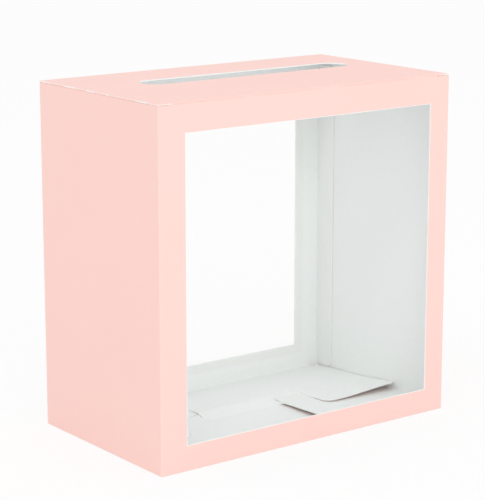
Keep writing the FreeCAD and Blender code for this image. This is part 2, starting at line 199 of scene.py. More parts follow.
class ShaderGraph:
    """Node tree of a material or a world, built from expressions."""

    def __init__(self, tree: bpy.types.NodeTree) -> None:
        """Start from an empty tree."""
        self.tree = tree
        self.tree.nodes.clear()

    @classmethod
    def of_material(cls, name: str) -> tuple["ShaderGraph", bpy.types.Material]:
        """New material with an empty graph.

        Args:
            name: Name of the material.

        Returns:
            The graph and its material.
        """
        material = bpy.data.materials.new(name)
        material.use_nodes = True
        return cls(material.node_tree), material

    def node(
        self,
        kind: str,
        settings: Mapping[str, Any] | None = None,
        inputs: Mapping[str | int, Any] | None = None,
        output: str | int = 0,
    ) -> Wire:
        """Add a node, set it up and join it to others.

        Args:
            kind: Blender's name of the node's type.
            settings: Properties of the node.
            inputs: Values or wires, by the socket's name or number.
            output: Name or number of the output that is wanted.

        Returns:
            That output, or the first input of a node that has no output.
        """
        node = self.tree.nodes.new(kind)
        for name, setting in (settings or {}).items():
            setattr(node, name, setting)
        for name, source in (inputs or {}).items():
            if isinstance(source, Wire):
                self.tree.links.new(source.socket, node.inputs[name])
            else:
                node.inputs[name].default_value = source
        return Wire(self, node.outputs[output] if node.outputs else node.inputs[0])

    def math(self, operation: str, *values: Wire | float) -> Wire:
        """Math node on one or two values."""
        return self.node("ShaderNodeMath", {"operation": operation}, dict(enumerate(values)))

    def mix(self, share: Wire | float, first: Wire | Colour, second: Wire | Colour) -> Wire:
        """Colour between two others, by its share of the second."""
        inputs = {0: share, 6: first, 7: second}
        return self.node("ShaderNodeMix", {"data_type": "RGBA"}, inputs, 2)

    def noise(self, place: Wire, grain: Grain) -> Wire:
        """Noise from 0 to 1.

        Args:
            place: Coordinates.
            grain: Size of the noise.

        Returns:
            The noise value.
        """
        inputs = {
            "Vector": place,
            "Scale": grain.scale,
            "Detail": grain.detail,
            "Roughness": grain.roughness,
        }
        return self.node("ShaderNodeTexNoise", {"noise_dimensions": "3D"}, inputs, "Fac")

    def step(self, value: Wire, low: float, high: float) -> Wire:
        """Smooth rise from 0 at low to 1 at high."""
        inputs = {"Value": value, "From Min": low, "From Max": high, "To Min": 0.0, "To Max": 1.0}
        return self.node("ShaderNodeMapRange", {"interpolation_type": "SMOOTHSTEP"}, inputs, "Result")

    def bump(self, height: Wire, distance: float, strength: float) -> Wire:
        """Normal of a surface with a fine relief, whose height of 1 stands for a distance."""
        inputs = {"Strength": strength, "Distance": distance, "Height": height}
        return self.node("ShaderNodeBump", None, inputs, "Normal")

    def finish(self, shader: Wire, kind: str = "ShaderNodeOutputMaterial") -> None:
        """Join a shader to the output of the tree."""
        self.node(kind, None, {"Surface": shader})


@dataclass(frozen=True)
class BoardFinish:
    """Folding boxboard: matt pink print outside, uncoated white inside, pale pulp at the cut edges."""

    print_colour: Colour = srgb(253, 215, 207)
    print_shade: Colour = srgb(250, 210, 202)
    inner_colour: Colour = srgb(247, 249, 248)
    inner_shade: Colour = srgb(243, 246, 244)
    core_colour: Colour = srgb(251, 252, 251)
    core_shade: Colour = srgb(244, 246, 244)
    worn_colour: Colour = srgb(253, 228, 222)
    print_roughness: float = 0.58
    inner_roughness: float = 0.76
    core_roughness: float = 0.82
    fibre_roughness: float = 0.12
    specular: float = 0.3
    cloud: Grain = Grain(11.0, 2.0)
    fibre: Grain = Grain(1600.0, 5.0, 0.6)
    speck: Grain = Grain(420.0, 3.0, 0.6)
    stretch: Grain = Grain(30.0, 1.0)
    dash: Grain = Grain(55.0, 1.0)
    fibre_height: float = 0.012 * MM
    speck_height: float = 0.35
    print_filling: float = 0.55
    relief: float = 0.5
    print_cloud: float = 0.7
    print_speck: float = 0.25
    inner_cloud: float = 0.4
    inner_speck: float = 0.6
    inner_speck_span: Span = (0.45, 0.75)
    core_fibre: float = 0.5
    core_stretch: float = 0.6
    core_stretch_span: Span = (0.4, 0.6)
    facing_limit: float = 0.05
    fold_reach: float = 1.4 * MM
    fold_wear: float = 0.35
    fold_wear_span: Span = (0.35, 0.8)
    edge_reach: float = 3.0 * MM
    edge_full: float = 1.2 * MM
    dash_span: Span = (0.52, 0.6)
    rim_width: float = 0.4 * MM
    rim_full: float = 0.24 * MM

    def material(self, side: Printed, window: Cutout | None = None) -> bpy.types.Material:
        """Board whose print is on the given side.

        Args:
            side: Side that is printed.
            window: Opening in X and Z whose cut has cracked the print beside it.

        Returns:
            The material, made once for each side.
        """
        name = f"board_{side.name.lower()}"
        if name in bpy.data.materials:
            return bpy.data.materials[name]
        graph, material = ShaderGraph.of_material(name)
        normal = graph.node("ShaderNodeTexCoord", output="Normal")
        toward = {0: normal, 1: side.value}
        facing = graph.node("ShaderNodeVectorMath", {"operation": "DOT_PRODUCT"}, toward, "Value")
        self._surface(graph, facing > self.facing_limit, facing < -self.facing_limit, window)
        return material

    def ply(self, printed: bool) -> bpy.types.Material:
        """One ply on its own, the same on both of its faces.

        Args:
            printed: True for the pink outer ply, False for the white inner one.

        Returns:
            The material, made once for each ply.
        """
        name = f"board_{'outer' if printed else 'inner'}_ply"
        if name in bpy.data.materials:
            return bpy.data.materials[name]
        graph, material = ShaderGraph.of_material(name)
        self._surface(graph, float(printed), float(not printed))
        return material

    def _surface(
        self,
        graph: ShaderGraph,
        printed: Wire | float,
        inside: Wire | float,
        window: Cutout | None = None,
    ) -> None:
        """Shade the board: print, white inside, or pulp where it is neither.

        Args:
            graph: Graph that it is added to.
            printed: 1 where the face is printed.
            inside: 1 where the face is the white inside.
            window: Opening whose cut has cracked the print beside it.
        """
        place = graph.node("ShaderNodeTexCoord", output="Object")
        cloud = graph.noise(place, self.cloud)
        fibre = graph.noise(place, self.fibre)
        speck = graph.noise(place, self.speck)
        pulp = self._pulp(graph, place, fibre)
        print_colour = self._print(graph, place, cloud, speck)
        if window:
            print_colour = graph.mix(self._rim(graph, place, speck, window), print_colour, pulp)
        inner_share = cloud * self.inner_cloud + graph.step(speck, *self.inner_speck_span) * self.inner_speck
        inner_colour = graph.mix(inner_share, self.inner_colour, self.inner_shade)
        colour = graph.mix(inside, self._dragged(graph, place, pulp), inner_colour)
        colour = graph.mix(printed, colour, print_colour)
        roughness = (
            self.core_roughness
            - printed * (self.core_roughness - self.print_roughness)
            - inside * (self.core_roughness - self.inner_roughness)
            + (fibre - NOISE_MEAN) * self.fibre_roughness
        )
        height = fibre * (1.0 - printed * self.print_filling) + speck * self.speck_height
        inputs = {
            "Base Color": colour,
            "Roughness": roughness,
            "Normal": graph.bump(height, self.fibre_height, self.relief),
            "Specular IOR Level": self.specular,
        }
        graph.finish(graph.node("ShaderNodeBsdfPrincipled", None, inputs))

    def _print(self, graph: ShaderGraph, place: Wire, cloud: Wire, speck: Wire) -> Wire:
        """Pink print, a little uneven, and paler where a fold or an edge has rubbed.

        Args:
            graph: Graph that it is added to.
            place: Coordinates on the box.
            cloud: Broad noise.
            speck: Fine noise.

        Returns:
            The print's colour.
        """
        uneven = cloud * self.print_cloud + (speck - NOISE_MEAN) * self.print_speck
        tone = graph.mix(uneven, self.print_colour, self.print_shade)
        fold = self._near_edge(graph, place, self.fold_reach, 0.0)
        rubbed = fold * graph.step(speck, *self.fold_wear_span) * self.fold_wear
        return graph.mix(rubbed, tone, self.worn_colour)

    def _pulp(self, graph: ShaderGraph, place: Wire, fibre: Wire) -> Wire:
        """Pulp of a cut edge, in whiter and greyer stretches.

        Args:
            graph: Graph that it is added to.
            place: Coordinates on the box.
            fibre: Noise of the fibres.

        Returns:
            The pulp's colour.
        """
        stretch = graph.step(graph.noise(place, self.stretch), *self.core_stretch_span)
        share = fibre * self.core_fibre + stretch * self.core_stretch
        return graph.mix(share, self.core_colour, self.core_shade)

    def _dragged(self, graph: ShaderGraph, place: Wire, pulp: Wire) -> Wire:
        """Pulp with print dragged over it in dashes, along the outer edges of the box.

        Args:
            graph: Graph that it is added to.
            place: Coordinates on the box.
            pulp: The bare pulp's colour.

        Returns:
            The cut edge's colour.
        """
        edge = self._near_edge(graph, place, self.edge_reach, self.edge_full)
        bare = graph.step(graph.noise(place, self.dash), *self.dash_span)
        return graph.mix(edge * (1.0 - bare), pulp, self.worn_colour)

    @staticmethod
    def _near_edge(graph: ShaderGraph, place: Wire, reach: float, full: float) -> Wire:
        """Nearness to an outer edge of the box, where two of its sides meet.

        Args:
            graph: Graph that it is added to.
            place: Coordinates on the box.
            reach: Distance from both sides at which it starts.
            full: Distance from both sides at which it is 1.

        Returns:
            A value from 0 to 1.
        """
        low, high = CAD_BOX
        near_side = []
        for axis, letter in enumerate("XYZ"):
            along = graph.node("ShaderNodeSeparateXYZ", None, {"Vector": place}, letter)
            middle = (low[axis] + high[axis]) / 2
            half = (high[axis] - low[axis]) / 2
            near_side.append(graph.step(abs(along - middle), half - reach, half - full))
        across, deep, up = near_side
        return across * deep | deep * up | up * across

    def _rim(self, graph: ShaderGraph, place: Wire, speck: Wire, window: Cutout) -> Wire:
        """Share of the print that has cracked off beside the cut of a window.

        Args:
            graph: Graph that it is added to.
            place: Coordinates on the box.
            speck: Fine noise.
            window: The opening in X and Z.

        Returns:
            A value from 0 to 1.
        """
        beyond = []
        for letter, (low, high) in zip("XZ", window):
            along = graph.node("ShaderNodeSeparateXYZ", None, {"Vector": place}, letter)
            beyond.append(abs(along - (low + high) / 2) - (high - low) / 2)
        ragged = (beyond[0] | beyond[1]) + (speck - NOISE_MEAN) * self.rim_width
        return 1.0 - graph.step(ragged, self.rim_full, self.rim_width)


@dataclass(frozen=True)
class FilmFinish:
    """Clear window film: faint haze, faint diagonal streaks that are partly draw lines and partly a painted
    sheen, glossy.
    """

    colour: Colour = srgb(246, 249, 250)
    haze: float = 0.015
    # Alpha of the whiter streaks, which are partly draw lines and partly a painted sheen.
    streak_and_sheen: float = 0.012
    streak_span: Span = (0.55, 0.8)
    streak_turn: float = math.radians(-18.0)
    streak_scale: tuple[float, float, float] = (26.0, 1.0, 2.2)
    streak_grain: Grain = Grain(1.0, 2.0)
    roughness: float = 0.07
    smear: Grain = Grain(60.0, 2.0)
    smear_roughness: float = 0.06
    refraction: float = 1.48

    def material(self) -> bpy.types.Material:
        """The film's material.

        Returns:
            The material, made once.
        """
        name = "window_film"
        if name in bpy.data.materials:
            return bpy.data.materials[name]
        graph, material = ShaderGraph.of_material(name)
        place = graph.node("ShaderNodeTexCoord", output="Object")
        # Whiter film in soft diagonal streaks: partly draw lines, partly a painted sheen.
        drawn = {"Vector": place, "Rotation": (0.0, self.streak_turn, 0.0), "Scale": self.streak_scale}
        line = graph.noise(graph.node("ShaderNodeMapping", None, drawn), self.streak_grain)
        inputs = {
            "Base Color": self.colour,
            "Roughness": self.roughness + graph.noise(place, self.smear) * self.smear_roughness,
            "Alpha": self.haze + graph.step(line, *self.streak_span) * self.streak_and_sheen,
            "IOR": self.refraction,
        }
        graph.finish(graph.node("ShaderNodeBsdfPrincipled", None, inputs))
        return material


@dataclass(frozen=True)
class GlueFinish:
    """Dried dispersion glue: milky, a little uneven."""

    colour: Colour = srgb(247, 248, 246)
    shade: Colour = srgb(242, 243, 239)
    roughness: float = 0.4
    bead: Grain = Grain(500.0, 3.0)
    bead_height: float = 0.05 * MM
    bead_roughness: float = 0.2
    relief: float = 0.4

    def material(self) -> bpy.types.Material:
        """The glue's material.

        Returns:
            The material, made once.
        """
        name = "dried_glue"
        if name in bpy.data.materials:
            return bpy.data.materials[name]
        graph, material = ShaderGraph.of_material(name)
        bead = graph.noise(graph.node("ShaderNodeTexCoord", output="Object"), self.bead)
        inputs = {
            "Base Color": graph.mix(bead, self.colour, self.shade),
            "Roughness": self.roughness + bead * self.bead_roughness,
            "Normal": graph.bump(bead, self.bead_height, self.relief),
        }
        graph.finish(graph.node("ShaderNodeBsdfPrincipled", None, inputs))
        return material


class Bench:
    """Modelling steps that the pieces made here share."""

    @staticmethod
    def clear() -> None:
        """Deselect everything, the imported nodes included."""
        bpy.ops.object.select_all(action="DESELECT")

    @staticmethod
    def pick(piece: bpy.types.Object) -> None:
        """Select one piece alone.

        Args:
            piece: Piece that the next operators act on.
        """
        Bench.clear()
        piece.select_set(True)
        bpy.context.view_layer.objects.active = piece

    @staticmethod
    def settle(piece: bpy.types.Object) -> None:
        """Put a piece's place, turn and scale into its mesh."""
        Bench.pick(piece)
        bpy.ops.object.transform_apply(location=True, rotation=True, scale=True)

    @staticmethod
    def apply(piece: bpy.types.Object, kind: str, settings: Mapping[str, Any]) -> None:
        """Add a modifier and apply it.

        Args:
            piece: Piece that is changed.
            kind: Type of the modifier.
            settings: The modifier's properties.
        """
        modifier = piece.modifiers.new(kind.lower(), kind)
        for name, setting in settings.items():
            setattr(modifier, name, setting)
        Bench.pick(piece)
        bpy.ops.object.modifier_apply(modifier=modifier.name)

    @staticmethod
    def select_edges(piece: bpy.types.Object, wanted: Callable[[Vector], bool]) -> None:
        """In edit mode, select only the edges whose two ends pass a test.

        Args:
            piece: Piece that is in edit mode.
            wanted: Test of an end's place.
        """
        bpy.ops.mesh.select_mode(type="EDGE")
        bpy.ops.mesh.select_all(action="DESELECT")
        mesh = bmesh.from_edit_mesh(piece.data)
        for edge in mesh.edges:
            edge.select_set(all(wanted(vertex.co) for vertex in edge.verts))
        bmesh.update_edit_mesh(piece.data)

    @staticmethod
    def outward(piece: bpy.types.Object) -> None:
        """Turn all faces of a closed piece outwards.

        Args:
            piece: Piece that is changed.
        """
        Bench.pick(piece)
        bpy.ops.object.mode_set(mode="EDIT")
        bpy.ops.mesh.select_all(action="SELECT")
        bpy.ops.mesh.normals_make_consistent(inside=False)
        bpy.ops.object.mode_set(mode="OBJECT")

    @staticmethod
    def smooth(piece: bpy.types.Object, angle: float) -> None:
        """Shade a piece smooth, apart from edges that bend by more than an angle."""
        Bench.pick(piece)
        bpy.ops.object.shade_smooth_by_angle(angle=angle)


@dataclass
class WallTube:
    """Four walls folded from one sheet, with the glue flap and the glue that close them."""

    board: BoardFinish
    glue: GlueFinish
    walls: Mapping[str, Printed] = field(
        default_factory=lambda: {
            "front_panel": Printed.FRONT,
            "back_panel": Printed.BACK,
            "left_panel": Printed.LEFT,
            "right_panel": Printed.RIGHT,
            "glue_flap": Printed.RIGHT,
        }
    )
    windowed: Sequence[str] = ("front_panel", "back_panel")
    window_margin: float = 8 * MM
    glue_nodes: Sequence[str] = ("side_seam_glue", "front_film_glue", "back_film_glue")

    def build(self) -> None:
        """Dress the walls and the glue."""
        for node, side in self.walls.items():
            window = cutout(node, (0, 2), self.window_margin) if node in self.windowed else None
            dress(node, self.board.material(side, window))
        for node in self.glue_nodes:
            dress(node, self.glue.material())


@dataclass
class WindowFilm:
    """Clear film glued behind a window: one sheet, slack by tenths of a millimetre inside its glued frame."""

    node: str
    finish: FilmFinish
    columns: int = 56
    rows: int = 52
    glued: float = 8 * MM
    full_slack: float = 40 * MM
    slack: float = 0.5 * MM
    ripple: float = 70 * MM
    smooth_angle: float = math.radians(40.0)

    def build(self) -> None:
        """Model the film in the place of its solid, and dress it."""
        low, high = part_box(self.node)
        size = high - low
        inward = 1.0 if low.y < 0.0 else -1.0
        Bench.clear()
        bpy.ops.mesh.primitive_grid_add(
            x_subdivisions=self.columns,
            y_subdivisions=self.rows,
            size=1.0,
            location=(low + high) / 2,
            rotation=(inward * math.radians(90.0), 0.0, 0.0),
        )
        film = bpy.context.object
        film.name = f"{self.node}_sheet"
        film.scale = (size.x, size.z, 1.0)
        Bench.settle(film)
        self._slacken(film, low, high, inward)
        Bench.smooth(film, self.smooth_angle)
        film.data.materials.append(self.finish.material())
        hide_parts(self.node)
        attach(film, "box")
        log.info("film %s: %d faces", film.name, len(film.data.polygons))

    def _slacken(self, film: bpy.types.Object, low: Vector, high: Vector, inward: float) -> None:
        """Let the free middle of the film hang a little slack.

        Args:
            film: Flat sheet.
            low: Lowest corner of the film's solid.
            high: Highest corner of the film's solid.
            inward: 1 where the box's inside lies towards +Y, else -1.
        """
        loose = film.vertex_groups.new(name="loose")
        for vertex in film.data.vertices:
            to_side = min(vertex.co.x - low.x, high.x - vertex.co.x)
            to_end = min(vertex.co.z - low.z, high.z - vertex.co.z)
            share = rise(min(to_side, to_end), self.glued, self.full_slack)
            loose.add([vertex.index], share, "REPLACE")
        texture = bpy.data.textures.new(f"{film.name}_ripple", "CLOUDS")
        texture.noise_scale = self.ripple
        texture.noise_depth = 1
        settings = {
            "texture": texture,
            "texture_coords": "LOCAL",
            "direction": "Y",
            "mid_level": 0.0,
            "strength": inward * self.slack,
            "vertex_group": loose.name,
        }
        Bench.apply(film, "DISPLACE", settings)


@dataclass
class FoldSkin:
    """Ply of board that stays whole round a fold, so that no slit opens there."""

    name: str
    bodies: Sequence[str]
    section: Sequence[Span]
    half_length: float
    middle: float
    printed: bool
    board: BoardFinish
    bend: tuple[Vector, Vector] | None = None
    along_y: bool = False
    thickness: float = 0.1 * MM
    smooth_angle: float = math.radians(40.0)

    def build(self) -> None:
        """Run the section along the fold, give it its thickness, and tie it to its first body unless it has a
        bend.
        """
        skin = self._strip()
        Bench.apply(skin, "SOLIDIFY", {"thickness": self.thickness, "offset": 1.0})
        Bench.outward(skin)
        Bench.smooth(skin, self.smooth_angle)
        skin.data.materials.append(self.board.ply(self.printed))
        if self.bend is None:
            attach(skin, self.bodies[0])
        else:
            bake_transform(skin)
        log.info("fold skin %s: %d faces", skin.name, len(skin.data.polygons))

    def _strip(self) -> bpy.types.Object:
        """Open strip: a first facet, whose far edge is drawn out along the section.

        Returns:
            The strip, with its place in its mesh.
        """
        (first_deep, first_up), (next_deep, next_up) = self.section[:2]
        Bench.clear()
        bpy.ops.mesh.primitive_plane_add(
            size=1.0,
            location=(self.middle, (first_deep + next_deep) / 2, (first_up + next_up) / 2),
            rotation=(math.atan2(next_up - first_up, next_deep - first_deep), 0.0, 0.0),
        )
        strip = bpy.context.object
        strip.name = self.name
        facet = math.hypot(next_deep - first_deep, next_up - first_up)
        strip.scale = (2 * self.half_length, facet, 1.0)
        Bench.settle(strip)
        bpy.ops.object.mode_set(mode="EDIT")
        reach = facet / 4
        far = Vector((0.0, next_deep, next_up))
        Bench.select_edges(strip, lambda point: (Vector((0.0, point.y, point.z)) - far).length < reach)
        for (deep, up), (to_deep, to_up) in zip(self.section[1:], self.section[2:]):
            step = {"value": (0.0, to_deep - deep, to_up - up)}
            bpy.ops.mesh.extrude_edges_move(TRANSFORM_OT_translate=step)
        bpy.ops.object.mode_set(mode="OBJECT")
        if self.along_y:
            strip.rotation_euler = (0.0, 0.0, math.radians(90.0))
            Bench.settle(strip)
        return strip


@dataclass(frozen=True)
class Push:
    """Shift of a board's points along one axis, by each point's share of it."""

    name: str
    axis: str
    distance: float
    share: Callable[[Vector], float]


@dataclass
class ReshapedBoard:
    """Board in its solid's form, cut across where it has to give, and pushed into its real form."""

    node: str
    name: str
    body: str
    material: bpy.types.Material
    cuts: Sequence[tuple[int, float]]
    pushes: Sequence[Push]
    seam: float = 0.001 * MM
    smooth_angle: float = math.radians(30.0)

    def build(self) -> None:
        """Model the board in the place of its solid, and dress it."""
        piece = bpy.data.objects.new(self.name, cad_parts[self.node].data.copy())
        bpy.context.scene.collection.objects.link(piece)
        self._cut(piece)
        for push in self.pushes:
            self._push(piece, push)
        Bench.outward(piece)
        Bench.smooth(piece, self.smooth_angle)
        piece.data.materials.clear()
        piece.data.materials.append(self.material)
        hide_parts(self.node)
        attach(piece, self.body)
        log.info("board %s: %d faces", piece.name, len(piece.data.polygons))

    def _cut(self, piece: bpy.types.Object) -> None:
        """Join the mesh's seams and cut it across at each place, so that it can give there.

        Args:
            piece: Copy of the solid.
        """
        Bench.pick(piece)
        bpy.ops.object.mode_set(mode="EDIT")
        bpy.ops.mesh.select_all(action="SELECT")
        bpy.ops.mesh.remove_doubles(threshold=self.seam)
        bpy.ops.mesh.customdata_custom_splitnormals_clear()
        for axis, distance in self.cuts:
            across = Vector(float(number == axis) for number in range(3))
            bpy.ops.mesh.select_all(action="SELECT")
            bpy.ops.mesh.bisect(plane_co=distance * across, plane_no=across)
        bpy.ops.object.mode_set(mode="OBJECT")

    @staticmethod
    def _push(piece: bpy.types.Object, push: Push) -> None:
        """Shift the board's points by one push.

        Args:
            piece: Board that is changed.
            push: The shift.
        """
        group = piece.vertex_groups.new(name=push.name)
        for vertex in piece.data.vertices:
            group.add([vertex.index], push.share(vertex.co), "REPLACE")
        settings = {
            "direction": push.axis,
            "mid_level": 0.0,
            "strength": push.distance,
            "vertex_group": group.name,
        }
        Bench.apply(piece, "DISPLACE", settings)


@dataclass(frozen=True)
class SlotEnd:
    """End of the card slot, drawn in from the solid's rounded corners to a half circle.

    The slot lies towards +X from the edge where inward is 1, and towards -X where it is -1.
    """

    edge: float
    inward: float
    middle: float
    radius: float
    corner: float
    touch: float = 0.01 * MM

    def share(self, point: Vector) -> float:
        """Share of the radius by which a point of the end's edge moves in.

        Args:
            point: Point of the lid.

        Returns:
            The share, which is 0 off the end's edge.
        """
        depth = self.inward * (point.x - self.edge)
        across = abs(point.y - self.middle)
        beside = across > self.radius + self.touch
        if beside or not -self.touch < depth < self.corner + self.touch:
            return 0.0
        round_depth = self.radius - math.sqrt(max(self.radius**2 - across**2, 0.0))
        return ramp(round_depth - depth, 0.0, self.radius)


@dataclass
class SlottedLid:
    """Lid with the card slot, its tuck flap, and the folds at its back and front edges."""

    board: BoardFinish
    wall: float = 0.8 * MM
    slot_margin: float = 15 * MM
    slot_corner: float = 6 * MM
    end_cuts: int = 6
    end_cut_reach: float = 5.7 * MM
    ply_gap: float = 0.02 * MM
    facets: int = 6
    back_half_length: float = 125.0 * MM
    back_radius: float = 0.5 * MM
    back_straight: float = 0.75 * MM
    back_reach: float = 2.2 * MM
    front_half_length: float = 116.5 * MM
    front_start: float = 0.55 * MM
    front_bend: float = 1.0 * MM
    front_facet_reach: float = 1.2 * MM
    front_reach: float = 2.3 * MM
    crease_gap: float = 0.1 * MM
    tuck_lean: float = math.radians(5.0)

    def build(self) -> None:
        """Model the lid, dress the tuck flap and make the two fold skins."""
        self._lid().build()
        dress("tuck_flap", self.board.material(Printed.FRONT))
        self._back_fold().build()
        self._front_fold().build()

    def _lid(self) -> ReshapedBoard:
        """Lid whose slot ends in half circles, cut across so that the ends have points to move.

        Returns:
            The board that takes the solid's place.
        """
        (left, right), (front, back) = cutout("lid_panel", (0, 1), self.slot_margin)
        middle, radius = (front + back) / 2, (back - front) / 2
        pushes = []
        for name, edge, inward in (("left_end", left, 1.0), ("right_end", right, -1.0)):
            end = SlotEnd(edge, inward, middle, radius, self.slot_corner)
            pushes.append(Push(name, "X", inward * radius, end.share))
        steps = [2 * number / self.end_cuts - 1 for number in range(self.end_cuts + 1)]
        return ReshapedBoard(
            node="lid_panel",
            name="lid_with_slot",
            body="lid",
            material=self.board.material(Printed.TOP),
            cuts=[(1, middle + step * self.end_cut_reach) for step in steps],
            pushes=pushes,
        )

    def _back_fold(self) -> FoldSkin:
        """Inner ply round the fold to the back wall.

        Returns:
            The ply.
        """
        lid_low, lid_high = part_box("lid_panel")
        face = lid_high.y - self.wall - self.ply_gap
        under = lid_low.z - self.ply_gap
        radius = self.back_radius
        section = [(face, under - self.back_reach), (face, under - self.back_straight)]
        for number in range(self.facets + 1):
            turn = math.radians(90.0) * number / self.facets
            across = radius * (1.0 - math.cos(turn))
            height = radius * (1.0 - math.sin(turn))
            section.append((face - across, under - height))
        section += [(face - self.back_straight, under), (face - self.back_reach, under)]
        return FoldSkin(
            name="lid_back_fold",
            bodies=("box", "lid"),
            section=section,
            half_length=self.back_half_length,
            middle=0.0,
            printed=False,
            board=self.board,
            bend=(Vector((0.0, face, under - radius)), Vector((0.0, face - radius, under))),
        )

    def _front_fold(self) -> FoldSkin:
        """Outer ply round the fold to the tuck flap.

        Returns:
            The ply.
        """
        lid_low, lid_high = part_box("lid_panel")
        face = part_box("tuck_flap")[0].y - self.ply_gap
        drops = [self.front_facet_reach * number / self.facets for number in range(self.facets + 1)]
        section = [(face, lid_high.z - self.front_start)]
        for drop in (*drops, self.front_reach):
            lean = max(drop - self.crease_gap, 0.0) * math.tan(self.tuck_lean)
            section.append((face + lean, lid_low.z - drop))
        return FoldSkin(
            name="tuck_front_fold",
            bodies=("lid", "tuck"),
            section=section,
            half_length=self.front_half_length,
            middle=0.0,
            printed=True,
            board=self.board,
            bend=(Vector((0.0, face, lid_low.z)), Vector((0.0, face, lid_low.z - self.front_bend))),
        )


@dataclass
class DustFlaps:
    """The two side flaps under the lid, with the folds to their walls."""

    board: BoardFinish
    on_wall: float = 0.85 * MM
    on_flap: float = 2.0 * MM
    thickness: float = 0.15 * MM
    lid_gap: float = 0.03 * MM
    bend_outer: float = 0.1 * MM
    bend_inner: float = 0.9 * MM
    end_gap: float = 0.2 * MM
    facets: int = 10

    def build(self) -> None:
        """Dress the flaps and make their fold skins."""
        for side in ("left", "right"):
            dress(f"{side}_dust_flap", self.board.material(Printed.TOP))
        for side, sign in (("left", -1.0), ("right", 1.0)):
            self._fold(side, sign).build()

    def _fold(self, side: str, sign: float) -> FoldSkin:
        """Outer ply over the fold of one flap.

        Args:
            side: Name of the side.
            sign: -1 on the left, 1 on the right.

        Returns:
            The ply.
        """
        low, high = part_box(f"{side}_dust_flap")
        crease = max(abs(low.x), abs(high.x))
        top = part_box("lid_panel")[0].z - self.lid_gap
        length = self.on_wall + self.on_flap
        reaches = [crease + self.on_wall - length * number / self.facets for number in range(self.facets + 1)]
        # The strip is drawn from its highest Y to its lowest, so that its thickness goes down on both sides.
        section = [(deep, top) for deep in sorted((-sign * reach for reach in reaches), reverse=True)]
        return FoldSkin(
            name=f"{side}_dust_fold",
            bodies=("box", f"{side}_dust"),
            section=section,
            half_length=(high.y - low.y) / 2 - self.end_gap,
            middle=(high.y + low.y) / 2,
            printed=True,
            board=self.board,
            bend=(
                Vector((sign * (crease + self.bend_outer), 0.0, top)),
                Vector((sign * (crease - self.bend_inner), 0.0, top)),
            ),
            along_y=True,
            thickness=self.thickness,
        )


@dataclass(frozen=True)
class Foot:
    """Foot of a wall, where its bottom flap folds in at a height and slopes up from there.

    The wall stands at the box's high end of the axis where outward is 1, and at its low end where it is -1.
    """

    side: str
    axis: int
    outward: float
    height: float = 0.0
    slope: float = 0.0


